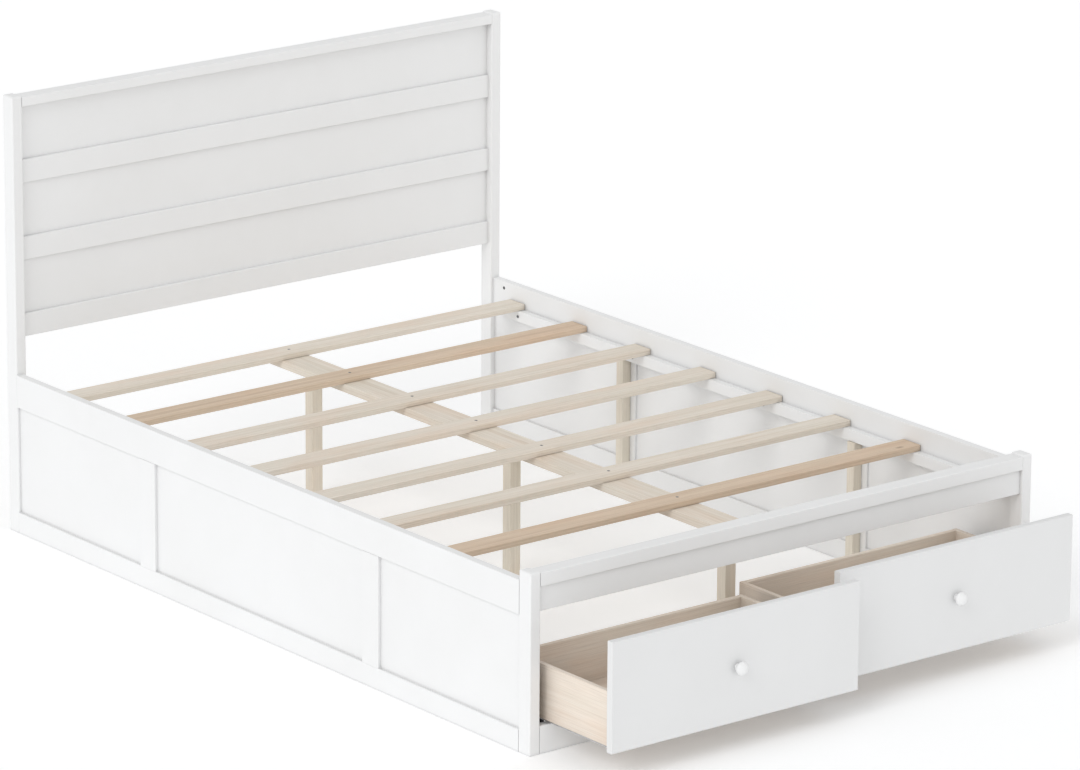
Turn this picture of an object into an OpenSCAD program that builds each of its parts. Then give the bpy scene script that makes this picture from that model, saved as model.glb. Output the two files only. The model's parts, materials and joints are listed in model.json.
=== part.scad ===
// Platform bed with a panelled headboard, framed sides and two drawers at the foot.
// +X is to the right when looking from the foot to the head, +Y points to the head,
// +Z is up. The origin lies on the floor under the middle leg of the centre beam.

/* [Bed] */
// Overall width across the posts
bed_w = 1440; // [1400:10:1560]
// Length from the front of the foot posts to the back of the head posts
bed_len = 2000; // [2000:5:2080]
// Height of the head posts
head_h = 1064; // [1050:1:1200]
// Height of the foot posts
foot_h = 414; // [412:1:428]
// Height of the side frames
side_h = 390; // [390:1:400]
// Distance from the foot posts' front face to the middle leg of the centre beam
origin_from_foot = 987; // [980:1:1000]

/* [Posts] */
// Width of a post, across the bed
post_w = 28; // [26:1:30]
// Depth of a post, along the bed
post_d = 40; // [38:1:44]
// Radius on the upright edges of a post
post_edge = 3; // [1:0.5:4]
// Radius on the top edges of a post
post_top_round = 5; // [2:0.5:8]

/* [Headboard] */
// Height of the headboard's bottom edge
headboard_z = 477; // [470:1:490]
// Height of the top rail
cap_rail_h = 23; // [20:1:30]
// How far the top rail lies below the tops of the posts
cap_drop = 4; // [2:1:8]
// Height of each lower headboard rail
head_rail_h = 56; // [45:1:65]
// How far the lower rails stand back from the front of the posts
head_rail_setback = 12; // [8:1:14]
// Thickness of the lower headboard rails
head_rail_t = 20; // [18:1:24]

/* [Footboard] */
// Height of the footboard's top rail
foot_rail_h = 31; // [26:1:34]
// How far the footboard's top rail lies below the tops of the posts
foot_rail_drop = 4; // [2:1:8]
// Height of the apron under the top rail
apron_h = 58; // [54:1:59]
// How far the apron stands back from the front of the posts
apron_setback = 8; // [6:1:10]
// Thickness of the apron
apron_t = 18; // [15:1:20]
// Height of the rail under the drawers
sill_h = 64; // [62:1:65]
// Thickness of the rail under the drawers
sill_t = 20; // [18:1:21]

/* [Side frames] */
// Thickness of the side frames
side_t = 20; // [18:1:22]
// Height of a side frame's top rail
side_top_rail_h = 79; // [74:1:80]
// Height of a side frame's bottom rail
side_bottom_rail_h = 51; // [45:1:55]
// Width of a stile between two panels
stile_w = 60; // [50:1:65]
// Length of the front and rear panels of a side frame
end_panel_len = 502; // [495:1:506]

/* [Panels] */
// Thickness of the framed panels
panel_t = 6; // [5:0.5:7]
// How far a side panel stands back from the outer face
side_panel_setback = 8; // [6:0.5:8]
// How far a headboard panel stands back from its rails
head_panel_setback = 8; // [6:0.5:8]
// Depth of the grooves that hold the panels
groove_d = 7; // [5:0.5:8]

/* [Slats and supports] */
// Width of a slat
slat_w = 60; // [50:1:70]
// Thickness of a slat
slat_t = 15; // [13:1:15]
// Distance from one slat to the next
slat_pitch = 246; // [240:1:246]
// Distance from the front of the foot posts to the first slat
slat_first = 355; // [350:1:365]
// Height of the slats' top faces
slat_top_z = 351; // [348:1:353]
// Height of the ledgers that carry the slats' ends
ledger_h = 28; // [24:1:28]
// Thickness of the ledgers
ledger_t = 20; // [18:1:22]
// Width of the centre beam
beam_w = 80; // [70:1:90]
// Thickness of the centre beam
beam_t = 20; // [18:1:24]
// Side of a square leg under the centre beam
leg_side = 30; // [28:1:36]
// Side of a square leg behind a stile
side_leg_side = 25; // [20:1:26]
// Distance from the middle leg to the leg near the head
leg_to_head = 773; // [750:1:778]
// Distance from the middle leg to the leg near the foot
leg_to_foot = 777; // [770:1:790]

/* [Drawers] */
// How far the left drawer stands open
left_open = 243; // [0:1:300]
// How far the right drawer stands open
right_open = 173; // [0:1:300]
// Thickness of a drawer front
front_t = 18; // [16:1:20]
// Height of a drawer front
front_h = 251; // [245:1:253]
// Gap under a drawer front
front_gap_z = 4; // [3.5:0.5:4]
// Gap at each end of a drawer front
front_gap_x = 3; // [2:0.5:4]
// Depth of the drawer box behind the front
box_d = 350; // [345:1:355]
// Height of the drawer box
box_h = 124; // [110:1:130]
// Thickness of the drawer box boards
box_t = 12; // [12:1:14]
// Thickness of the drawer bottom
bottom_t = 5; // [4:0.5:6]
// Height of the drawer bottom above the box's lower edge
bottom_lift = 10; // [9:1:12]
// Diameter of a knob
knob_d = 31; // [26:1:34]
// How far a knob stands out
knob_len = 26; // [24:1:28]

/* [Drawer slides] */
// Thickness of the timber rail between the drawers
bearer_t = 24; // [22:1:30]
// Length of the timber rails that carry the slides
bearer_len = 360; // [355:1:380]
// Space beside the drawer box for a slide
slide_gap = 14; // [14:0.5:15]
// Length of a slide channel
channel_len = 350; // [345:1:356]
// Height of a slide channel
channel_h = 24; // [24:0.5:25]
// Depth of a slide channel
channel_d = 11; // [10.5:0.5:11.5]
// Thickness of the slide's steel
steel_t = 1.5; // [1.2:0.1:1.5]
// Radius of the fixed roller at the front of a channel
front_roller_r = 8; // [7:0.5:8]
// Radius of the roller at the back of a drawer
rear_roller_r = 9.5; // [9:0.1:9.5]

/* [Hidden] */
$fn = 48;

white_paint = [0.95, 0.95, 0.94];
pale_wood = [0.86, 0.78, 0.68];
leg_wood = [0.78, 0.74, 0.66];
box_wood = [0.90, 0.80, 0.70];
zinc = [0.72, 0.72, 0.74];
dark_steel = [0.25, 0.25, 0.26];
black_nylon = [0.10, 0.10, 0.11];

// Outline of the bed
foot_y = -origin_from_foot;
head_y = foot_y + bed_len;
out_x = bed_w / 2;
post_x = out_x - post_w;
side_y0 = foot_y + post_d;
side_y1 = head_y - post_d;
edge_r = 1.5;
soft_edge_r = 2;
cut = 1;

// Headboard
cap_z = head_h - cap_drop - cap_rail_h;
head_rail_y = side_y1 + head_rail_setback;
head_panel_y = head_rail_y + head_panel_setback;
head_panel_count = 3;
head_panel_h = (cap_z - headboard_z) / head_panel_count - head_rail_h;
head_pitch = head_rail_h + head_panel_h;

// Footboard
foot_rail_z = foot_h - foot_rail_drop - foot_rail_h;
apron_y = foot_y + apron_setback;
apron_z = foot_rail_z - apron_h;
sill_y1 = foot_y + sill_t;

// Side frames
side_in = out_x - side_t;
side_top_z = side_h - side_top_rail_h;
side_panel_out = out_x - side_panel_setback;
stile_front_y = side_y0 + end_panel_len;
stile_rear_y = side_y1 - end_panel_len - stile_w;

// Slats, ledgers, beam and legs
slat_count = 7;
slat_y0 = foot_y + slat_first;
slat_z = slat_top_z - slat_t;
slat_end_gap = 2;
slat_x = side_in - slat_end_gap;
ledger_in = side_in - ledger_t;
ledger_z = slat_z - ledger_h;
ledger_end = 40;
beam_z = slat_z - beam_t;
beam_y0 = apron_y + apron_t;
beam_end_gap = 8;
last_slat_y = slat_y0 + (slat_count - 1) * slat_pitch;
beam_y1 = last_slat_y + slat_w - beam_end_gap;

// Drawer box, right half, closed
front_x0 = front_gap_x / 2;
front_x1 = post_x - front_gap_x;
front_z = sill_h + front_gap_z;
box_y0 = foot_y + front_t;
box_y1 = box_y0 + box_d;
box_z = 72;
box_z1 = box_z + box_h;
bearer_in = bearer_t / 2;
bearer_out = side_in - slide_gap;
box_x0 = bearer_in + slide_gap;
box_x1 = bearer_out - slide_gap;
bottom_z = box_z + bottom_lift;
bottom_groove = 6;
bearer_h = 75;
bearer_y1 = sill_y1 + bearer_len;

// Slides
runner_t = 2;
gap = 0.3;
channel_gap = 2;
channel_y0 = sill_y1 + channel_gap;
channel_y1 = channel_y0 + channel_len;
roller_pin_r = 3;
pin_gap = 0.06;
roller_bore_r = roller_pin_r + pin_gap;
roller_w = 8;
roller_end_gap = 1;
front_roller_y = channel_y0 + front_roller_r;
front_roller_z = box_z - runner_t - gap - front_roller_r;
channel_z = front_roller_z - channel_h / 2;
rear_roller_z = channel_z + steel_t + gap + rear_roller_r;
tab_len = 24;
tab_h = 40;
tab_z = rear_roller_z - tab_len / 2;
tab_y0 = box_y1 - tab_len;
rear_roller_y = box_y1 - tab_len / 2;
front_roller_x = slide_gap + roller_end_gap;
front_pin_len = slide_gap + box_t - roller_end_gap;
rear_roller_x = slide_gap - steel_t - roller_end_gap - roller_w;
rear_pin_x = rear_roller_x - roller_end_gap;

// Fasteners
bolt_r = 3;
bolt_len = 84;
bolt_head_r = 8;
bolt_head_h = 4;
bolt_from_top = 17;
bolt_top_z = side_h - bolt_from_top;
bolt_past_nut = 12;
bolt_low_z = side_bottom_rail_h / 2;
nut_r = 4;
nut_len = 14;
nut_from_post = 43;
hole_gap = 0.1;
screw_r = 1.75;
screw_len = 30;
screw_head_r = 3.8;
screw_head_h = 2.2;
ledger_screw_z = ledger_z + ledger_h / 2;
ledger_screw_slats = [0, 2, 4];
ledger_screw_dy = 45;
head_ledger_screw_dy = 3;
ledger_screw_ys = concat(
    [for (i = ledger_screw_slats) slat_y0 + i * slat_pitch + ledger_screw_dy],
    [last_slat_y + head_ledger_screw_dy]);

// Knobs
knob_x = (front_x0 + front_x1) / 2;
knob_z = front_z + front_h / 2;
knob_r = knob_d / 2;
knob_foot_r = 0.5 * knob_r;
knob_foot_h = 2.5;
knob_neck_r = 0.36 * knob_r;
knob_rim_z = 0.5 * knob_len;
knob_rim_round = 1.5;
knob_flare_h = 4;
knob_dome_r = 1.15 * knob_r;
knob_screw_r = 2;
knob_screw_head_r = 4;
knob_screw_head_h = 2.5;
knob_bite = 14;
knob_hole_len = knob_bite + 1;

// Rectangle from [x0, y0] to [x1, y1] with rounded corners
module soft_rect(x0, x1, y0, y1, r = edge_r) {
    translate([x0 + r, y0]) square([x1 - x0 - 2 * r, y1 - y0]);
    translate([x0, y0 + r]) square([x1 - x0, y1 - y0 - 2 * r]);
    for (x = [x0 + r, x1 - r], y = [y0 + r, y1 - r]) translate([x, y]) circle(r);
}

// Boards that run along one axis, given by their lowest and highest corners,
// with their long edges eased
module board_x(x0, x1, y0, y1, z0, z1, r = edge_r) {
    translate([x0, 0, 0]) rotate([90, 0, 90]) linear_extrude(x1 - x0) soft_rect(y0, y1, z0, z1, r);
}

module board_y(x0, x1, y0, y1, z0, z1, r = edge_r) {
    translate([0, y1, 0]) rotate([90, 0, 0]) linear_extrude(y1 - y0) soft_rect(x0, x1, z0, z1, r);
}

module board_z(x0, x1, y0, y1, z0, z1, r = edge_r) {
    translate([0, 0, z0]) linear_extrude(z1 - z0) soft_rect(x0, x1, y0, y1, r);
}

// Plain block from its lowest to its highest corner
module block(x0, x1, y0, y1, z0, z1) {
    translate([x0, y0, z0]) cube([x1 - x0, y1 - y0, z1 - z0]);
}

// Round bar along X, from x0 to x1
module bar_x(x0, x1, y, z, r) {
    translate([x0, y, z]) rotate([0, 90, 0]) cylinder(h = x1 - x0, r = r);
}

// Round bar along Y, from y0 to y1
module bar_y(x, y0, y1, z, r) {
    translate([x, y1, z]) rotate([90, 0, 0]) cylinder(h = y1 - y0, r = r);
}

// The right half is modelled, and the left half is its mirror image
module left_half() {
    mirror([1, 0, 0]) children();
}

// Upright post on the right, from y0, with its top edges rounded
module post(y0, h) {
    below = -post_top_round;
    intersection() {
        board_z(post_x, out_x, y0, y0 + post_d, 0, h, post_edge);
        board_x(post_x, out_x, y0, y0 + post_d, below, h, post_top_round);
        board_y(post_x, out_x, y0, y0 + post_d, below, h, post_top_round);
    }
}

// Groove for a side panel in an upright, from y0 to y1
module side_panel_groove(y0, y1) {
    block(side_panel_out - panel_t, side_panel_out, y0, y1,
        side_bottom_rail_h - groove_d, side_top_z + groove_d);
}

// Clearance hole for the bed bolts of the right side
module bolt_holes() {
    for (z = [bolt_top_z, bolt_low_z])
        bar_y(side_in + side_t / 2, side_y1 - bolt_len, head_y + cut, z, bolt_r + hole_gap);
}

module nut_holes(z) {
    bar_x(side_in - cut, side_in + nut_len, side_y1 - nut_from_post, z, nut_r + hole_gap);
}

module head_post() {
    color(white_paint) difference() {
        post(side_y1, head_h);
        block(post_x - cut, post_x + groove_d, head_panel_y, head_panel_y + panel_t,
            headboard_z + head_rail_h - groove_d, cap_z + groove_d);
        side_panel_groove(side_y1 - cut, side_y1 + groove_d);
        bolt_holes();
    }
}

module headboard_top_rail() {
    color(white_paint) difference() {
        board_x(-post_x, post_x, side_y1, head_y, cap_z, cap_z + cap_rail_h, soft_edge_r);
        block(-post_x, post_x, head_panel_y, head_panel_y + panel_t,
            cap_z - cut, cap_z + groove_d);
    }
}

// Lower headboard rails, counted from the bottom; the lowest has no groove below
module headboard_rail(i) {
    z = headboard_z + i * head_pitch;
    z1 = z + head_rail_h;
    color(white_paint) difference() {
        board_x(-post_x, post_x, head_rail_y, head_rail_y + head_rail_t, z, z1);
        block(-post_x, post_x, head_panel_y, head_panel_y + panel_t, z1 - groove_d, z1 + cut);
        if (i > 0)
            block(-post_x, post_x, head_panel_y, head_panel_y + panel_t, z - cut, z + groove_d);
    }
}

// Headboard panels, counted from the bottom, held in the grooves all round
module headboard_panel(i) {
    z = headboard_z + head_rail_h + i * head_pitch;
    reach = post_x + groove_d;
    color(white_paint)
        block(-reach, reach, head_panel_y, head_panel_y + panel_t,
            z - groove_d, z + head_panel_h + groove_d);
}

module foot_post() {
    color(white_paint) difference() {
        post(foot_y, foot_h);
        side_panel_groove(side_y0 - groove_d, side_y0 + cut);
    }
}

module footboard_top_rail() {
    color(white_paint)
        board_x(-post_x, post_x, foot_y, side_y0, foot_rail_z, foot_rail_z + foot_rail_h,
            soft_edge_r);
}

module footboard_apron() {
    color(white_paint)
        board_x(-post_x, post_x, apron_y, apron_y + apron_t, apron_z, foot_rail_z);
}

module foot_bottom_rail() {
    color(white_paint) board_x(-post_x, post_x, foot_y, sill_y1, 0, sill_h);
}

module side_top_rail() {
    color(white_paint) difference() {
        board_y(side_in, out_x, side_y0, side_y1, side_top_z, side_h);
        block(side_panel_out - panel_t, side_panel_out, side_y0, side_y1,
            side_top_z - cut, side_top_z + groove_d);
        bolt_holes();
        nut_holes(bolt_top_z);
        ledger_screw_cuts(side_in - cut, side_in + screw_len - ledger_t);
    }
}

module side_bottom_rail() {
    color(white_paint) difference() {
        board_y(side_in, out_x, side_y0, side_y1, 0, side_bottom_rail_h);
        block(side_panel_out - panel_t, side_panel_out, side_y0, side_y1,
            side_bottom_rail_h - groove_d, side_bottom_rail_h + cut);
        bolt_holes();
        nut_holes(bolt_low_z);
    }
}

// The two stiles between a side frame's panels
module side_stiles() {
    color(white_paint) for (y = [stile_front_y, stile_rear_y]) difference() {
        board_z(side_in, out_x, y, y + stile_w, side_bottom_rail_h, side_top_z);
        side_panel_groove(y - cut, y + groove_d);
        side_panel_groove(y + stile_w - groove_d, y + stile_w + cut);
    }
}

// The three panels of a side frame, held in the grooves all round
module side_panels() {
    starts = [side_y0, stile_front_y + stile_w, stile_rear_y + stile_w];
    ends = [stile_front_y, stile_rear_y, side_y1];
    color(white_paint) for (i = [0:2])
        side_panel_groove(starts[i] - groove_d, ends[i] + groove_d);
}

module ledger_screw_cuts(x0, x1) {
    for (y = ledger_screw_ys)
        bar_x(x0, x1, y, ledger_screw_z, screw_r + hole_gap);
}

// Cleat on the inside of a side frame that carries the slats' ends
module ledger() {
    color(white_paint) difference() {
        board_y(ledger_in, side_in, side_y0, side_y1 - ledger_end, ledger_z, slat_z);
        ledger_screw_cuts(ledger_in - cut, side_in + cut);
    }
}

// Legs behind the stiles, under the ledgers
module side_legs() {
    color(leg_wood) for (s = [0, 1], y = [stile_front_y, stile_rear_y])
        mirror([s, 0, 0])
            board_z(side_in - side_leg_side, side_in, y + (stile_w - side_leg_side) / 2,
                y + (stile_w + side_leg_side) / 2, 0, ledger_z);
}

// Leg under the centre beam, standing on z0
module centre_leg(y, z0) {
    color(leg_wood)
        board_z(-leg_side / 2, leg_side / 2, y - leg_side / 2, y + leg_side / 2, z0, beam_z);
}

module centre_beam() {
    color(pale_wood) difference() {
        board_y(-beam_w / 2, beam_w / 2, beam_y0, beam_y1, beam_z, slat_z);
        for (i = [0 : slat_count - 1])
            translate([0, slat_y0 + i * slat_pitch + slat_w / 2, slat_top_z - screw_len])
                cylinder(h = screw_len, r = screw_r + hole_gap);
    }
}

// Slats are counted from the foot, each with a sunk screw into the beam
module slat(i) {
    y = slat_y0 + i * slat_pitch;
    color(pale_wood) difference() {
        board_x(-slat_x, slat_x, y, y + slat_w, slat_z, slat_top_z, soft_edge_r);
        translate([0, y + slat_w / 2, slat_z - cut])
            cylinder(h = slat_t + 2 * cut, r = screw_r + hole_gap);
        translate([0, y + slat_w / 2, slat_top_z - screw_head_h])
            cylinder(h = screw_head_h + cut, r = screw_head_r + hole_gap);
    }
}

// Timber that the slide channels are screwed to: one rail between the drawers
// and one along each side frame
module drawer_bearers() {
    color(leg_wood) {
        board_y(-bearer_in, bearer_in, sill_y1, bearer_y1, 0, bearer_h);
        for (s = [0, 1]) mirror([s, 0, 0])
            board_y(bearer_out, side_in, side_y0, bearer_y1, 0, bearer_h);
    }
}

// One slide channel, opening towards +X from the bearer's face at x = 0,
// with the pin of its front roller
module channel() {
    block(0, steel_t, channel_y0, channel_y1, channel_z, channel_z + channel_h);
    for (z = [channel_z, channel_z + channel_h - steel_t])
        block(0, channel_d, channel_y0, channel_y1, z, z + steel_t);
    bar_x(0, front_pin_len, front_roller_y, front_roller_z, roller_pin_r);
}

// The two slides of the right drawer: one on the centre bearer, one on the outer bearer
module at_slides() {
    translate([bearer_in, 0, 0]) children();
    translate([bearer_out, 0, 0]) mirror([1, 0, 0]) children();
}

module drawer_channels() {
    color(zinc) for (s = [0, 1]) mirror([s, 0, 0]) at_slides() channel();
}

module roller(x0, x1, y, z, r) {
    difference() {
        bar_x(x0, x1, y, z, r);
        bar_x(x0 - cut, x1 + cut, y, z, roller_bore_r);
    }
}

// Rollers under the edges of the drawer box, at the front of the channels
module front_rollers() {
    color(black_nylon) at_slides()
        roller(front_roller_x, front_roller_x + roller_w, front_roller_y, front_roller_z,
            front_roller_r);
}

// Steel runner of a drawer: a strip under the side board and a tab at the back
// with the pin of the rear roller
module runner() {
    block(slide_gap, slide_gap + box_t, box_y0, box_y1, box_z - runner_t, box_z);
    block(slide_gap - steel_t, slide_gap, tab_y0, box_y1, tab_z, tab_z + tab_h);
    bar_x(rear_pin_x, slide_gap, rear_roller_y, rear_roller_z, roller_pin_r);
    block(slide_gap - steel_t, slide_gap + cut, tab_y0, box_y1, box_z - runner_t, box_z);
}

module drawer_runners() {
    color(zinc) at_slides() runner();
}

module rear_rollers() {
    color(black_nylon) at_slides()
        roller(rear_roller_x, rear_roller_x + roller_w, rear_roller_y, rear_roller_z,
            rear_roller_r);
}

// Right drawer, closed; its bottom is held in a groove of all four boards
module drawer_bottom_space() {
    block(box_x0 + box_t - bottom_groove, box_x1 - box_t + bottom_groove,
        box_y0 - bottom_groove, box_y1 - box_t + bottom_groove, bottom_z, bottom_z + bottom_t);
}

module drawer_front() {
    color(white_paint) difference() {
        board_x(front_x0, front_x1, foot_y, box_y0, front_z, front_z + front_h, soft_edge_r);
        drawer_bottom_space();
        bar_y(knob_x, foot_y - cut, box_y0 + cut, knob_z, knob_screw_r + hole_gap);
    }
}

module drawer_inner_side() {
    color(box_wood) difference() {
        board_y(box_x0, box_x0 + box_t, box_y0, box_y1, box_z, box_z1);
        drawer_bottom_space();
    }
}

module drawer_outer_side() {
    color(box_wood) difference() {
        board_y(box_x1 - box_t, box_x1, box_y0, box_y1, box_z, box_z1);
        drawer_bottom_space();
    }
}

module drawer_back() {
    color(box_wood) difference() {
        board_x(box_x0 + box_t, box_x1 - box_t, box_y1 - box_t, box_y1, box_z, box_z1);
        drawer_bottom_space();
    }
}

module drawer_bottom() {
    color(box_wood) drawer_bottom_space();
}

// Turned knob: a foot, a neck and a domed head, bored for its screw
module knob() {
    color(white_paint) translate([knob_x, foot_y, knob_z]) rotate([90, 0, 0]) difference() {
        union() {
            cylinder(h = knob_foot_h, r = knob_foot_r);
            cylinder(h = knob_rim_z, r = knob_neck_r);
            translate([0, 0, knob_rim_z - knob_flare_h])
                cylinder(h = knob_flare_h, r1 = knob_neck_r, r2 = knob_r - knob_rim_round);
            translate([0, 0, knob_rim_z]) intersection() {
                cylinder(h = knob_len - knob_rim_z, r = knob_r);
                translate([0, 0, knob_len - knob_rim_z - knob_dome_r]) sphere(knob_dome_r);
            }
        }
        translate([0, 0, -cut]) cylinder(h = knob_hole_len + cut, r = knob_screw_r + hole_gap);
    }
}

module knob_screw() {
    color(zinc) union() {
        bar_y(knob_x, foot_y - knob_bite, box_y0, knob_z, knob_screw_r);
        bar_y(knob_x, box_y0, box_y0 + knob_screw_head_h, knob_z, knob_screw_head_r);
    }
}

// Bolts through the head posts into the side frames, with their barrel nuts
module bed_bolts() {
    for (s = [0, 1], z = [bolt_top_z, bolt_low_z]) mirror([s, 0, 0]) {
        color(zinc) union() {
            bar_y(side_in + side_t / 2, side_y1 - nut_from_post - bolt_past_nut, head_y, z, bolt_r);
            bar_y(side_in + side_t / 2, head_y, head_y + bolt_head_h, z, bolt_head_r);
        }
        color(dark_steel) difference() {
            bar_x(side_in, side_in + nut_len, side_y1 - nut_from_post, z, nut_r);
            bolt_holes();
        }
    }
}

// Screw along -Z with its head's top at z = 0
module wood_screw() {
    translate([0, 0, -screw_head_h]) cylinder(h = screw_head_h, r = screw_head_r);
    translate([0, 0, -screw_len]) cylinder(h = screw_len - screw_head_h / 2, r = screw_r);
}

// Screws that hold the slats to the beam and the ledgers to the side frames
module wood_screws() {
    color(dark_steel) {
        for (i = [0 : slat_count - 1])
            translate([0, slat_y0 + i * slat_pitch + slat_w / 2, slat_top_z]) wood_screw();
        for (s = [0, 1], y = ledger_screw_ys) mirror([s, 0, 0])
            translate([ledger_in - screw_head_h, y, ledger_screw_z]) rotate([0, -90, 0])
                wood_screw();
    }
}

module left_drawer_place() {
    translate([0, -left_open, 0]) left_half() children();
}

module right_drawer_place() {
    translate([0, -right_open, 0]) children();
}

left_half() head_post();  // head_post_left
head_post();  // head_post_right
headboard_top_rail();
headboard_rail(2);  // headboard_upper_rail
headboard_rail(1);  // headboard_middle_rail
headboard_rail(0);  // headboard_bottom_rail
headboard_panel(2);  // headboard_panel_top
headboard_panel(1);  // headboard_panel_middle
headboard_panel(0);  // headboard_panel_bottom
left_half() foot_post();  // foot_post_left
foot_post();  // foot_post_right
footboard_top_rail();
footboard_apron();
foot_bottom_rail();
left_half() side_top_rail();  // left_top_rail
side_top_rail();  // right_top_rail
left_half() side_bottom_rail();  // left_bottom_rail
side_bottom_rail();  // right_bottom_rail
left_half() side_stiles();  // left_stiles
side_stiles();  // right_stiles
left_half() side_panels();  // left_panels
side_panels();  // right_panels
left_half() ledger();  // left_ledger
ledger();  // right_ledger
side_legs();
centre_leg(leg_to_head, 0);  // centre_leg_head
centre_leg(0, 0);  // centre_leg_middle
centre_leg(-leg_to_foot, bearer_h);  // centre_leg_foot
centre_beam();
slat(0);  // slat_1
slat(1);  // slat_2
slat(2);  // slat_3
slat(3);  // slat_4
slat(4);  // slat_5
slat(5);  // slat_6
slat(6);  // slat_7
drawer_bearers();
drawer_channels();
bed_bolts();
wood_screws();
left_half() front_rollers();  // left_front_rollers
front_rollers();  // right_front_rollers
left_drawer_place() drawer_front();  // left_drawer_front
left_drawer_place() drawer_outer_side();  // left_drawer_outer_side
left_drawer_place() drawer_inner_side();  // left_drawer_inner_side
left_drawer_place() drawer_back();  // left_drawer_back
left_drawer_place() drawer_bottom();  // left_drawer_bottom
left_drawer_place() knob();  // left_drawer_knob
left_drawer_place() knob_screw();  // left_knob_screw
left_drawer_place() drawer_runners();  // left_drawer_runners
left_drawer_place() rear_rollers();  // left_rear_rollers
right_drawer_place() drawer_front();  // right_drawer_front
right_drawer_place() drawer_outer_side();  // right_drawer_outer_side
right_drawer_place() drawer_inner_side();  // right_drawer_inner_side
right_drawer_place() drawer_back();  // right_drawer_back
right_drawer_place() drawer_bottom();  // right_drawer_bottom
right_drawer_place() knob();  // right_drawer_knob
right_drawer_place() knob_screw();  // right_knob_screw
right_drawer_place() drawer_runners();  // right_drawer_runners
right_drawer_place() rear_rollers();  // right_rear_rollers
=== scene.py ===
import json
import math

import bmesh
import bpy
from mathutils import Euler, Matrix, Vector


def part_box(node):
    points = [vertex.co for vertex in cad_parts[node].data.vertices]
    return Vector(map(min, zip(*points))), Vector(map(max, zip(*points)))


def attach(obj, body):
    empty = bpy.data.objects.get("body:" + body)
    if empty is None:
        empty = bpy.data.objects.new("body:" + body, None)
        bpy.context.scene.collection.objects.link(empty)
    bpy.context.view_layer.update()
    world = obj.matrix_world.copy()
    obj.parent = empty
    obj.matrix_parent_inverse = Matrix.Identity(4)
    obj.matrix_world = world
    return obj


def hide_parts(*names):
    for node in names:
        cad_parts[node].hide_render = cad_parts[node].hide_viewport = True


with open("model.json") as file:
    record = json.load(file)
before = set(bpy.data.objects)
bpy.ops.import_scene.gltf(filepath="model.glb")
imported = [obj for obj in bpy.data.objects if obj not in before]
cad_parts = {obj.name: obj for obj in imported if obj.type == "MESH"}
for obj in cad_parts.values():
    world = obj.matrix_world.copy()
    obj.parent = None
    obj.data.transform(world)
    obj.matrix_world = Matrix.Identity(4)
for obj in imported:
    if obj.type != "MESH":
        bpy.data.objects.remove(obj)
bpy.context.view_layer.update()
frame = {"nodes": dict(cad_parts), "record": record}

# Looks of the platform bed: painted frame, raw slats and drawer boxes, steel and nylon hardware.

NODES = frame["nodes"]
SIDES = ("left", "right")
X, Y, Z = 0, 1, 2
MM = 0.001

# ---------------------------------------------------------------- camera

CAMERA_PLACE = Vector((-8.988, -11.488, 4.818))
CAMERA_AZIMUTH = math.radians(38.29)
CAMERA_DOWN = math.radians(16.60)
CAMERA_ROLL = math.radians(0.37)
CAMERA_LENS = 220.2
CAMERA_SENSOR = 36
CAMERA_REACH = 200


def make_camera():
    data = bpy.data.cameras.new("camera")
    data.lens = CAMERA_LENS
    data.sensor_width = CAMERA_SENSOR
    data.clip_end = CAMERA_REACH
    camera = bpy.data.objects.new("camera", data)
    bpy.context.scene.collection.objects.link(camera)
    look = Euler((math.pi / 2 - CAMERA_DOWN, 0, -CAMERA_AZIMUTH)).to_matrix()
    turn = look @ Matrix.Rotation(CAMERA_ROLL, 3, "Z")
    camera.matrix_world = Matrix.Translation(CAMERA_PLACE) @ turn.to_4x4()
    bpy.context.scene.camera = camera


# ---------------------------------------------------------------- node helpers

BEVEL_SAMPLES = 4
OCCLUSION_SAMPLES = 8
KNOT_SCALE = 9.0
KNOT_CUTOFF = 0.80


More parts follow.
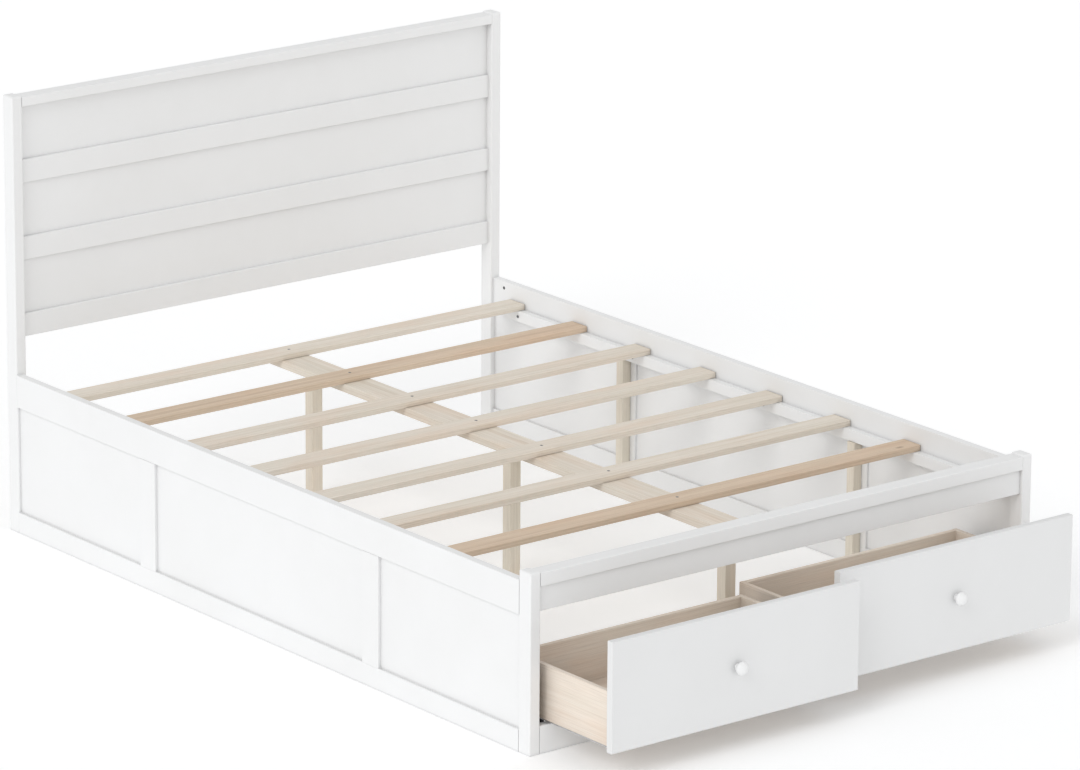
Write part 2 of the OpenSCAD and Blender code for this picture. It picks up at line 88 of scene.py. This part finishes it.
class Shader:
    """A material with a Principled BSDF and short ways to add texture nodes."""

    def __init__(self, name, roughness, metallic=0.0, specular=0.5):
        self.material = bpy.data.materials.new(name)
        self.material.use_nodes = True
        self.tree = self.material.node_tree
        self.bsdf = self.tree.nodes["Principled BSDF"]
        self.bsdf.inputs["Roughness"].default_value = roughness
        self.bsdf.inputs["Metallic"].default_value = metallic
        self.bsdf.inputs["Specular IOR Level"].default_value = specular
        self.place = self.tree.nodes.new("ShaderNodeTexCoord").outputs["Object"]

    def node(self, kind, **inputs):
        node = self.tree.nodes.new(kind)
        for name, value in inputs.items():
            self.feed(node.inputs[name.replace("_", " ")], value)
        return node

    def feed(self, socket, value):
        """Links a socket to the value, or sets it where the value is a constant."""
        if isinstance(value, bpy.types.NodeSocket):
            self.tree.links.new(value, socket)
        else:
            socket.default_value = value

    def stretched(self, scale, offset=(0, 0, 0)):
        mapping = self.node("ShaderNodeMapping", Vector=self.place, Scale=scale, Location=offset)
        return mapping.outputs["Vector"]

    def noise(self, vector, scale, detail=3.0, roughness=0.5, distortion=0.0):
        node = self.node("ShaderNodeTexNoise", Vector=vector, Scale=scale, Detail=detail,
                         Roughness=roughness, Distortion=distortion)
        return node.outputs["Fac"]

    def ramp(self, value, *stops):
        """Maps value through (place, grey or colour) stops."""
        node = self.node("ShaderNodeValToRGB", Fac=value)
        while len(node.color_ramp.elements) < len(stops):
            node.color_ramp.elements.new(0.5)
        for element, (place, colour) in zip(node.color_ramp.elements, stops):
            element.position = place
            grey = isinstance(colour, (int, float))
            element.color = (colour, colour, colour, 1) if grey else (*colour, 1)
        return node.outputs["Color"]

    def math(self, operation, a, b):
        node = self.tree.nodes.new("ShaderNodeMath")
        node.operation = operation
        self.feed(node.inputs[0], a)
        self.feed(node.inputs[1], b)
        return node.outputs["Value"]

    def mix(self, share, a, b, blend="MIX"):
        """Colour a where the share is 0 and colour b, or their blend, where it is 1."""
        node = self.tree.nodes.new("ShaderNodeMix")
        node.data_type = "RGBA"
        node.blend_type = blend
        self.feed(node.inputs["Factor"], share)
        colours = [socket for socket in node.inputs if socket.type == "RGBA"]
        for socket, value in zip(colours, (a, b)):
            self.feed(socket, (*value, 1) if isinstance(value, tuple) else value)
        return next(socket for socket in node.outputs if socket.type == "RGBA")

    def bump(self, height, distance, strength=1.0, normal=None):
        node = self.node("ShaderNodeBump", Height=height, Distance=distance, Strength=strength)
        if normal is not None:
            self.feed(node.inputs["Normal"], normal)
        return node.outputs["Normal"]

    def edges(self, radius):
        """A mask that is bright along the arrises."""
        bevel = self.node("ShaderNodeBevel", Radius=radius)
        bevel.samples = BEVEL_SAMPLES
        facing = self.tree.nodes.new("ShaderNodeVectorMath")
        facing.operation = "DOT_PRODUCT"
        self.feed(facing.inputs[0], bevel.outputs["Normal"])
        self.feed(facing.inputs[1], self.node("ShaderNodeNewGeometry").outputs["Normal"])
        return self.ramp(facing.outputs["Value"], (0.80, 1.0), (0.97, 0.0))

    def crevice_shade(self, reach, darkest):
        """A factor that falls to the darkest value in inside corners: painted shade."""
        node = self.node("ShaderNodeAmbientOcclusion", Distance=reach)
        node.samples = OCCLUSION_SAMPLES
        return self.ramp(node.outputs["AO"], (0.3, darkest), (0.85, 1.0))

    def knots(self, axis):
        """A mask with a few small knots, drawn out along the axis."""
        cells = self.node("ShaderNodeTexVoronoi", Vector=self.stretched(along(axis, 0.5, 1.0)),
                          Scale=KNOT_SCALE)
        parts = self.node("ShaderNodeSeparateColor", Color=cells.outputs["Color"])
        chosen = self.math("GREATER_THAN", parts.outputs["Red"], KNOT_CUTOFF)
        spot = self.ramp(cells.outputs["Distance"], (0.02, 1.0), (0.075, 0.0))
        return self.math("MULTIPLY", spot, chosen)

    def finish(self, colour=None, roughness=None, normal=None):
        for name, value in (("Base Color", colour), ("Roughness", roughness), ("Normal", normal)):
            if value is not None:
                self.feed(self.bsdf.inputs[name], value)
        return self.material


def along(axis, lengthwise, across):
    """Scale vector with one value along the grain axis and another across it."""
    return tuple(lengthwise if i == axis else across for i in range(3))


# ---------------------------------------------------------------- paint, steel, nylon, floor

PAINT = (0.845, 0.849, 0.852)
PAINT_SHADE = (0.826, 0.829, 0.829)
PAINT_WORN = (0.70, 0.67, 0.62)
PAINT_ARRIS = 0.7 * MM
# Painted shade in the paint's inside corners: how far it reaches and how dark it gets
PAINT_SHADE_REACH = 14 * MM
PAINT_CREVICE_SHADE = 0.80
PAINT_GRAIN = 0.06 * MM
PAINT_PEEL = 0.03 * MM
# Drawer fronts: a darker copy of the white paint, painted shade that dims the fronts
SHADED_FRONT_PAINT = (0.770, 0.774, 0.776)
SHADED_FRONT_DARKER = (0.752, 0.755, 0.756)


def paint_material(name, axis, tone, shade):
    """Satin white paint: a fine roller texture over faint wood grain along the axis, with painted
    shade in inside corners.
    """
    shader = Shader(name, roughness=0.42)
    arris = shader.edges(PAINT_ARRIS)
    cloud = shader.noise(shader.place, scale=3.5, detail=4.0, roughness=0.6)
    colour = shader.mix(shader.ramp(cloud, (0.35, 0.0), (0.65, 1.0)), shade, tone)
    rubbed = shader.noise(shader.place, scale=60.0, detail=4.0, roughness=0.7)
    scuff = shader.ramp(rubbed, (0.45, 0.0), (0.75, 0.5))
    colour = shader.mix(shader.math("MULTIPLY", arris, scuff), colour, PAINT_WORN)
    # Painted shade: the colour darkens in inside corners
    colour = shader.mix(1.0, colour, shader.crevice_shade(PAINT_SHADE_REACH, PAINT_CREVICE_SHADE), "MULTIPLY")
    fibres = shader.stretched(along(axis, 0.03, 1.0))
    grain = shader.noise(fibres, scale=320.0, detail=4.0, roughness=0.6)
    peel = shader.noise(shader.place, scale=850.0, detail=2.0)
    sheen = shader.noise(shader.place, scale=28.0, detail=5.0, roughness=0.65)
    normal = shader.bump(grain, PAINT_GRAIN)
    normal = shader.bump(peel, PAINT_PEEL, normal=normal)
    return shader.finish(colour, shader.ramp(sheen, (0.3, 0.37), (0.7, 0.49)), normal)


ZINC_GREY = (0.62, 0.62, 0.64)
BOLT_GREY = (0.10, 0.10, 0.105)
SCREW_GREY = (0.30, 0.30, 0.31)
STEEL_MARKS = 0.02 * MM


def steel_material(name, colour, roughness):
    """Rolled steel with fine drawing marks along Y and a mottled plating."""
    shader = Shader(name, roughness, metallic=1.0)
    marks = shader.noise(shader.stretched(along(Y, 0.02, 1.0)), scale=2500.0, detail=2.0)
    mottle = shader.noise(shader.place, scale=160.0, detail=4.0, roughness=0.6)
    dull = tuple(0.8 * c for c in colour)
    tint = shader.mix(shader.ramp(mottle, (0.35, 0.0), (0.65, 1.0)), dull, colour)
    rough = shader.ramp(mottle, (0.3, roughness - 0.08), (0.7, roughness + 0.1))
    return shader.finish(tint, rough, shader.bump(marks, STEEL_MARKS))


NYLON_TONES = ((0.018, 0.018, 0.020), (0.034, 0.034, 0.037))
NYLON_GRAIN = 0.04 * MM


def nylon_material():
    """Black moulded nylon with a fine spark texture."""
    shader = Shader("black_nylon", roughness=0.45)
    grain = shader.noise(shader.place, scale=1800.0, roughness=0.6)
    wear = shader.noise(shader.place, scale=240.0)
    rough = shader.ramp(wear, (0.3, 0.36), (0.7, 0.55))
    return shader.finish(shader.mix(wear, *NYLON_TONES), rough, shader.bump(grain, NYLON_GRAIN))


FLOOR_TONES = ((0.96, 0.965, 0.97), (0.97, 0.975, 0.98))
FLOOR_GLOW = 0.145


def floor_material():
    """Matt pale studio floor with a slight glow, so that shadows on it stay light."""
    shader = Shader("studio_floor", roughness=0.9, specular=0.1)
    shader.bsdf.inputs["Emission Color"].default_value = (1, 1, 1, 1)
    shader.bsdf.inputs["Emission Strength"].default_value = FLOOR_GLOW
    return shader.finish(shader.mix(shader.noise(shader.place, scale=0.8), *FLOOR_TONES))


# ---------------------------------------------------------------- wood

WAVE_LENGTH = math.tau / 20
RING = 4.5 * MM
RING_CONTRAST = 0.6
RING_BUMP = 0.10 * MM
FIBRE_BUMP = 0.12 * MM
WOOD_ARRIS = 0.8 * MM
# Painted shade in the wood's inside corners: how far it reaches and how dark it gets
WOOD_SHADE_REACH = 14 * MM
WOOD_CREVICE_SHADE = 0.72
KNOT_TONE = 0.62


def growth_rings(shader, axis, pith, ring):
    """Saw-tooth growth rings about a pith line; the wave node's waves are WAVE_LENGTH at scale 1."""
    offset = tuple(0 if i == axis else -value for i, value in enumerate(pith))
    trunk = shader.stretched(along(axis, 0.07, 1.0), offset)
    wave = shader.node("ShaderNodeTexWave", Vector=trunk, Scale=WAVE_LENGTH / ring,
                       Distortion=5.0, Detail=3.0, Detail_Scale=0.25, Detail_Roughness=0.6)
    wave.wave_type = "RINGS"
    wave.rings_direction = "XYZ"[axis]
    wave.wave_profile = "SAW"
    return shader.ramp(wave.outputs["Fac"], (0.0, 0.0), (0.62, 0.25), (0.9, 1.0), (1.0, 0.1))


def wood_material(name, axis, tones, pith, ring=RING, contrast=RING_CONTRAST, reach=WOOD_SHADE_REACH):
    """Sawn softwood: growth rings about a pith line along the axis, fibres, pores and knots, with
    painted shade in inside corners.
    """
    pale, deep = tones
    shader = Shader(name, roughness=0.62, specular=0.35)
    arris = shader.edges(WOOD_ARRIS)
    rings = growth_rings(shader, axis, pith, ring)
    fibre = shader.noise(shader.stretched(along(axis, 0.012, 1.0)), scale=900.0, roughness=0.6)
    streak = shader.noise(shader.stretched(along(axis, 0.05, 1.0)), scale=42.0, detail=4.0,
                          roughness=0.6, distortion=0.4)
    patch = shader.noise(shader.stretched(along(axis, 0.3, 1.0)), scale=14.0, detail=2.0)
    flush = shader.ramp(patch, (0.32, (0.985, 1.0, 1.0)), (0.5, 1.0), (0.68, (1.0, 0.955, 0.925)))
    pores = shader.ramp(fibre, (0.34, 0.78), (0.5, 1.0))
    knotty = tuple(KNOT_TONE * c * c for c in deep)
    colour = shader.mix(shader.math("MULTIPLY", rings, contrast), pale, deep)
    colour = shader.mix(0.4, colour, shader.ramp(streak, (0.3, deep), (0.7, pale)))
    colour = shader.mix(1.0, colour, flush, "MULTIPLY")
    colour = shader.mix(0.5, colour, pores, "MULTIPLY")
    colour = shader.mix(shader.math("MULTIPLY", shader.knots(axis), 0.8), colour, knotty)
    colour = shader.mix(shader.math("MULTIPLY", arris, 0.35), colour, deep)
    # Painted shade: the colour darkens in inside corners
    colour = shader.mix(1.0, colour, shader.crevice_shade(reach, WOOD_CREVICE_SHADE), "MULTIPLY")
    normal = shader.bump(rings, RING_BUMP)
    normal = shader.bump(fibre, FIBRE_BUMP, normal=normal)
    return shader.finish(colour, shader.ramp(fibre, (0.3, 0.74), (0.7, 0.55)), normal)


# ---------------------------------------------------------------- materials on the CAD nodes


def slot_of(node):
    return next(p["material_slot"] for p in frame["record"]["subparts"] if p["node"] == node)


def use(node, material):
    """Gives a CAD node one material all over."""
    slots = NODES[node].material_slots
    for slot in slots:
        slot.material = material
    if not slots:
        NODES[node].data.materials.append(material)


def longest_axis(node):
    low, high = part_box(node)
    size = high - low
    return max(range(3), key=lambda i: size[i])


def paint_frame(paints):
    """White paint on every painted board, its grain along the board."""
    for name in NODES:
        if slot_of(name) == "white_paint":
            use(name, paints[longest_axis(name)])


SLAT_PALE = ((0.83, 0.765, 0.68), (0.66, 0.565, 0.45))
SLAT_WARM = ((0.74, 0.60, 0.465), (0.53, 0.385, 0.265))
WARM_SLATS = ("slat_1", "slat_6")
# Each slat's pith line: its depth in mm below the slat, and how it wanders from slat to slat
PITH_DEPTHS = (30, 44, 26, 52, 36, 28, 60)
PITH_SWAY = 12 * MM
PITH_TURN = 2.4


def wood_slats():
    """Every slat is cut from its own place in the trunk."""
    for i, depth in enumerate(PITH_DEPTHS):
        name = f"slat_{i + 1}"
        low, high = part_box(name)
        middle = (low + high) / 2
        sway = PITH_SWAY * math.sin(PITH_TURN * i)
        pith = (0, middle.y + sway, middle.z - depth * MM)
        tones = SLAT_WARM if name in WARM_SLATS else SLAT_PALE
        use(name, wood_material("wood_" + name, X, tones, pith))


BEAM_PITH_X = 8 * MM
BEAM_PITH_DEPTH = 38 * MM
LEG_TONES = ((0.82, 0.757, 0.655), (0.64, 0.566, 0.462))
LEG_PITH = (21 * MM, 50 * MM, 0)
LEG_RING = 3.2 * MM
BEARER_PITH = (30 * MM, 0, -50 * MM)
BEARER_RING = 4 * MM


def wood_supports():
    """The beam matches the slats; the legs and bearers are of a greyer wood."""
    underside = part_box("centre_beam")[0].z
    beam_pith = (BEAM_PITH_X, 0, underside - BEAM_PITH_DEPTH)
    use("centre_beam", wood_material("wood_beam", Y, SLAT_PALE, beam_pith))
    leg_wood = wood_material("wood_leg", Z, LEG_TONES, LEG_PITH, LEG_RING)
    for name in ("side_legs", "centre_leg_head", "centre_leg_middle", "centre_leg_foot"):
        use(name, leg_wood)
    bearer_wood = wood_material("wood_bearer", Y, LEG_TONES, BEARER_PITH, BEARER_RING)
    use("drawer_bearers", bearer_wood)


BOX_TONES = ((0.86, 0.775, 0.685), (0.71, 0.59, 0.48))
BOX_RING = 6 * MM
BOX_CONTRAST = 0.35
# Reach of the painted shade that darkens the drawer boxes' insides
BOX_SHADE_REACH = 160 * MM
BACK_PITH_Y = 100 * MM
BACK_PITH_DEPTH = 120 * MM
WALL_PITH_X = 45 * MM
WALL_PITH_DEPTH = 15 * MM


def box_material(name, axis, pith):
    return wood_material(name, axis, BOX_TONES, pith, BOX_RING, BOX_CONTRAST, BOX_SHADE_REACH)


def wood_drawers():
    """Drawer boxes of light wood, darkened inside by painted shade: the sides' grain runs along Y,
    the back's and bottom's along X.
    """
    for side in SIDES:
        low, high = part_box(side + "_drawer_bottom")
        pith = (0, low.y + BACK_PITH_Y, low.z - BACK_PITH_DEPTH)
        across = box_material(f"wood_{side}_back", X, pith)
        for name in ("back", "bottom"):
            use(f"{side}_drawer_{name}", across)
        for name in ("outer_side", "inner_side"):
            low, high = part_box(f"{side}_drawer_{name}")
            pith = (low.x - WALL_PITH_X, 0, (low.z + high.z) / 2 - WALL_PITH_DEPTH)
            use(f"{side}_drawer_{name}", box_material(f"wood_{side}_{name}", Y, pith))


def hardware(materials):
    """Steel and nylon on the slides, rollers and screws, by material slot."""
    for name in NODES:
        slot = slot_of(name)
        if slot in materials:
            use(name, materials[slot])


# ---------------------------------------------------------------- mesh helpers

WELD = 1e-6


def add_piece(name, mesh, material, body, node):
    """A new piece that rides on a body and stands for a CAD node."""
    piece = bpy.data.objects.new(name, mesh)
    bpy.context.scene.collection.objects.link(piece)
    mesh.materials.append(material)
    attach(piece, body)
    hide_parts(node)


def to_mesh(bm, name):
    bmesh.ops.recalc_face_normals(bm, faces=bm.faces)
    mesh = bpy.data.meshes.new(name)
    bm.to_mesh(mesh)
    bm.free()
    return mesh


def islands(node):
    """The lowest and highest corner of each separate solid in a CAD node."""
    bm = bmesh.new()
    bm.from_mesh(NODES[node].data)
    bmesh.ops.remove_doubles(bm, verts=bm.verts, dist=WELD)
    seen, found = set(), []
    for start in bm.verts:
        if start.index in seen:
            continue
        group, queue = [], [start]
        seen.add(start.index)
        while queue:
            vert = queue.pop()
            group.append(vert.co.copy())
            for edge in vert.link_edges:
                other = edge.other_vert(vert)
                if other.index not in seen:
                    seen.add(other.index)
                    queue.append(other)
        low = Vector(min(c[i] for c in group) for i in range(3))
        high = Vector(max(c[i] for c in group) for i in range(3))
        found.append((low, high))
    bm.free()
    return found


def round_outline(radius, count):
    """Points of a circle or of a regular polygon, from +X round."""
    turn = math.tau / count
    return [(radius * math.cos(i * turn), radius * math.sin(i * turn)) for i in range(count)]


def cross_outline(reach, half_width):
    a, b = reach, half_width
    return [(a, -b), (a, b), (b, b), (b, a), (-b, a), (-b, b),
            (-a, b), (-a, -b), (-b, -b), (-b, -a), (b, -a), (b, -b)]


def slot_outline(reach, half_width):
    return [(reach, -half_width), (reach, half_width), (-reach, half_width), (-reach, -half_width)]


def lathe(bm, profile, count):
    """Turned surface about Z from (radius, height) points, closed below; returns its top ring."""
    rings = [[bm.verts.new((x, y, height)) for x, y in round_outline(radius, count)]
             for radius, height in profile]
    for lower, upper in zip(rings, rings[1:]):
        for i in range(count):
            face = bm.faces.new((lower[i], lower[i - 1], upper[i - 1], upper[i]))
            face.smooth = True
    bm.faces.new(rings[0])
    return rings[-1]


def recessed_top(bm, outer, outline, depth, taper=0.7):
    """Closes a ring with a flat top that has a tapered recess of the given outline."""
    height = outer[0].co.z
    mouth = [bm.verts.new((x, y, height)) for x, y in outline]
    edges = [bm.edges.get((a, b)) or bm.edges.new((a, b))
             for loop in (outer, mouth) for a, b in zip(loop, loop[1:] + loop[:1])]
    bmesh.ops.triangle_fill(bm, edges=edges, use_beauty=True)
    for face in [f for f in bm.faces if all(v in mouth for v in f.verts)]:
        bm.faces.remove(face)
    floor = [bm.verts.new((x * taper, y * taper, height - depth)) for x, y in outline]
    for i in range(len(mouth)):
        bm.faces.new((mouth[i], mouth[i - 1], floor[i - 1], floor[i]))
    bm.faces.new(floor)


def turned(bm, place, direction):
    """Moves a part made along +Z so that it points along direction from place."""
    turn = Vector((0, 0, 1)).rotation_difference(direction).to_matrix().to_4x4()
    bmesh.ops.transform(bm, matrix=Matrix.Translation(place) @ turn, verts=bm.verts)


def headed_part(profile, count, recess, depth, place, direction):
    """Turned fastener whose flat top has a recess and lies at place, facing along direction."""
    bm = bmesh.new()
    recessed_top(bm, lathe(bm, profile, count), recess, depth)
    turned(bm, place, direction)
    return bm


def joined(parts, name):
    whole = bmesh.new()
    for part in parts:
        mesh = to_mesh(part, "part")
        whole.from_mesh(mesh)
        bpy.data.meshes.remove(mesh)
    return to_mesh(whole, name)


# ---------------------------------------------------------------- knobs

# Shares of the knob's length: its widest ring, and the head's rise below and above that ring
KNOB_WIDEST = 0.60
KNOB_UNDER = 0.30
KNOB_CROWN = 0.40
# Shares of the knob's radius: its neck, and how much more the neck flares at the drawer
KNOB_WAIST = 0.42
KNOB_FLARE = 0.12
KNOB_LOWEST = math.radians(-62)
KNOB_STEPS = 16
KNOB_SEGMENTS = 64


def knob_profile(radius, length):
    """A waisted neck that runs into a smoothly rounded head."""
    widest = KNOB_WIDEST * length
    meet_r = radius * math.cos(KNOB_LOWEST)
    meet_z = widest + KNOB_UNDER * length * math.sin(KNOB_LOWEST)
    profile = []
    for i in range(KNOB_STEPS):
        t = i / KNOB_STEPS
        neck = radius * (KNOB_WAIST + KNOB_FLARE * (1 - t) ** 3)
        profile.append((neck + (meet_r - KNOB_WAIST * radius) * t ** 4, meet_z * t))
    for i in range(2 * KNOB_STEPS):
        angle = KNOB_LOWEST + (math.pi / 2 - KNOB_LOWEST) * i / (2 * KNOB_STEPS)
        rise = KNOB_UNDER if angle < 0 else KNOB_CROWN
        profile.append((radius * math.cos(angle), widest + rise * length * math.sin(angle)))
    return profile


def make_knob(side, paint):
    """Turned knob on a drawer front, as large as the CAD knob it replaces."""
    node = side + "_drawer_knob"
    low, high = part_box(node)
    bm = bmesh.new()
    profile = knob_profile((high.x - low.x) / 2, high.y - low.y)
    bm.faces.new(lathe(bm, profile, KNOB_SEGMENTS))
    turned(bm, Vector(((low.x + high.x) / 2, high.y, (low.z + high.z) / 2)), Vector((0, -1, 0)))
    add_piece(side + "_turned_knob", to_mesh(bm, node), paint, side + "_drawer", node)


# ---------------------------------------------------------------- screws and bolts

SCREW_HEAD = 2.2 * MM
SCREW_SHANK = 1.75 * MM
SCREW_POINT = 4 * MM
SCREW_SEGMENTS = 32


def screw_part(place, direction, radius, length):
    """Countersunk cross-head screw whose head's top is at place."""
    profile = [(0.2 * SCREW_SHANK, -length), (SCREW_SHANK, SCREW_POINT - length),
               (SCREW_SHANK, -1.6 * SCREW_HEAD), (0.96 * radius, -0.35 * SCREW_HEAD),
               (radius, -0.15 * SCREW_HEAD), (0.97 * radius, 0)]
    cross = cross_outline(0.55 * radius, 0.13 * radius)
    return headed_part(profile, SCREW_SEGMENTS, cross, 0.7 * SCREW_HEAD, place, direction)


def inward_face(low, high):
    """Middle of a solid's face towards the bed's centre line, and the direction it faces."""
    middle = (low + high) / 2
    if middle.x > 0:
        return Vector((low.x, middle.y, middle.z)), Vector((-1, 0, 0))
    return Vector((high.x, middle.y, middle.z)), Vector((1, 0, 0))


def make_screws(steel):
    """Cross-head screws in place of the plain ones: upright in the slats, level in the ledgers."""
    parts = []
    for low, high in islands("wood_screws"):
        size, middle = high - low, (low + high) / 2
        if size.z > size.x:
            top = Vector((middle.x, middle.y, high.z))
            parts.append(screw_part(top, Vector((0, 0, 1)), size.x / 2, size.z))
        else:
            parts.append(screw_part(*inward_face(low, high), size.y / 2, size.x))
    add_piece("cross_head_screws", joined(parts, "cross_head_screws"), steel, "frame",
              "wood_screws")


BOLT_SHANK = 3 * MM
BOLT_HEAD = 4 * MM
BOLT_POINT = 1.5 * MM
BOLT_SOCKET = 2.2 * MM
BOLT_SEGMENTS = 36
# Share of the head's radius that the flat round its socket takes
BOLT_FLAT = 0.55
DOME_STEPS = 6


def bolt_part(low, high):
    """Button-head bolt with a hexagon socket, its head at the far end in Y."""
    middle = (low + high) / 2
    radius, length = (high.x - low.x) / 2, high.y - low.y
    profile = [(0.8 * BOLT_SHANK, -length), (BOLT_SHANK, BOLT_POINT - length),
               (BOLT_SHANK, -BOLT_HEAD), (radius, -BOLT_HEAD)]
    for i in range(DOME_STEPS):
        angle = math.pi / 2 * (i + 1) / (DOME_STEPS + 0.5)
        dome = BOLT_FLAT + (1 - BOLT_FLAT) * math.cos(angle)
        profile.append((radius * dome, BOLT_HEAD * (math.sin(angle) - 1)))
    return headed_part(profile, BOLT_SEGMENTS, round_outline(0.36 * radius, 6), BOLT_SOCKET,
                       Vector((middle.x, high.y, middle.z)), Vector((0, 1, 0)))


NUT_BEVEL = 0.5 * MM
NUT_SLOT = 1.2 * MM
NUT_SEGMENTS = 32


def nut_part(low, high):
    """Barrel nut with a screwdriver slot in the end that shows inside the bed."""
    radius, length = (high.z - low.z) / 2, high.x - low.x
    profile = [(radius, -length), (radius, -NUT_BEVEL), (radius - NUT_BEVEL, 0)]
    slot = slot_outline(0.75 * radius, 0.16 * radius)
    return headed_part(profile, NUT_SEGMENTS, slot, NUT_SLOT, *inward_face(low, high))


def make_bolts(steel):
    """Bolts through the head posts, each with the barrel nut that it screws into."""
    parts = [bolt_part(low, high) if high.y - low.y > high.x - low.x else nut_part(low, high)
             for low, high in islands("bed_bolts")]
    add_piece("head_bolts", joined(parts, "head_bolts"), steel, "frame", "bed_bolts")


# ---------------------------------------------------------------- studio

FLOOR_HALF = 60.0
FLOOR_DROP = 0.5 * MM
SKY_LOW = 0.98
SKY_HIGH = 0.58
KEY_FROM = Vector((-0.73, -0.26, 0.62))
KEY_ENERGY = 0.80
KEY_SPREAD = math.radians(32)
FILL_FROM = Vector((0.10, -0.90, 0.42))
FILL_ENERGY = 0.16
FILL_SPREAD = math.radians(70)


def make_floor():
    bm = bmesh.new()
    drop = Matrix.Translation((0, 0, -FLOOR_DROP))
    bmesh.ops.create_grid(bm, x_segments=1, y_segments=1, size=FLOOR_HALF, matrix=drop)
    floor = bpy.data.objects.new("studio_floor", to_mesh(bm, "studio_floor"))
    floor.data.materials.append(floor_material())
    bpy.context.scene.collection.objects.link(floor)


def make_sky():
    """White surround that fades from the horizon up."""
    world = bpy.data.worlds.new("studio")
    world.use_nodes = True
    tree = world.node_tree
    background = tree.nodes["Background"]
    height = tree.nodes.new("ShaderNodeSeparateXYZ")
    fade = tree.nodes.new("ShaderNodeMapRange")
    fade.inputs["To Min"].default_value = SKY_LOW
    fade.inputs["To Max"].default_value = SKY_HIGH
    tree.links.new(tree.nodes.new("ShaderNodeTexCoord").outputs["Generated"], height.inputs[0])
    tree.links.new(height.outputs["Z"], fade.inputs["Value"])
    tree.links.new(fade.outputs["Result"], background.inputs["Strength"])
    background.inputs["Color"].default_value = (1, 1, 1, 1)
    bpy.context.scene.world = world


def sun_lamp(name, source, energy, spread):
    """Distant soft light that shines from the source's direction."""
    data = bpy.data.lights.new(name, "SUN")
    data.energy = energy
    data.angle = spread
    lamp = bpy.data.objects.new(name, data)
    lamp.rotation_euler = source.to_track_quat("Z", "Y").to_euler()
    bpy.context.scene.collection.objects.link(lamp)


def make_studio():
    """Pale floor, white surround, a broad key light from the bed's left and a faint fill."""
    make_floor()
    make_sky()
    sun_lamp("key", KEY_FROM, KEY_ENERGY, KEY_SPREAD)
    sun_lamp("fill", FILL_FROM, FILL_ENERGY, FILL_SPREAD)
    bpy.context.scene.view_settings.view_transform = "Standard"


# ---------------------------------------------------------------- scene

make_camera()
PAINTS = [paint_material("white_paint_" + "xyz"[i], i, PAINT, PAINT_SHADE) for i in (X, Y, Z)]
# The drawer fronts' paint: the white paint darkened, painted shade on the fronts
SHADED_FRONTS = paint_material("shaded_front_paint", X, SHADED_FRONT_PAINT, SHADED_FRONT_DARKER)
ZINC = steel_material("zinc_steel", ZINC_GREY, roughness=0.32)
DARK = steel_material("dark_steel", BOLT_GREY, roughness=0.38)
SCREWS = steel_material("screw_steel", SCREW_GREY, roughness=0.40)
paint_frame(PAINTS)
wood_slats()
wood_supports()
wood_drawers()
hardware({"zinc_steel": ZINC, "dark_steel": DARK, "black_nylon": nylon_material()})
for side in SIDES:
    use(side + "_drawer_front", SHADED_FRONTS)
    make_knob(side, PAINTS[X])
make_screws(SCREWS)
make_bolts(DARK)
make_studio()
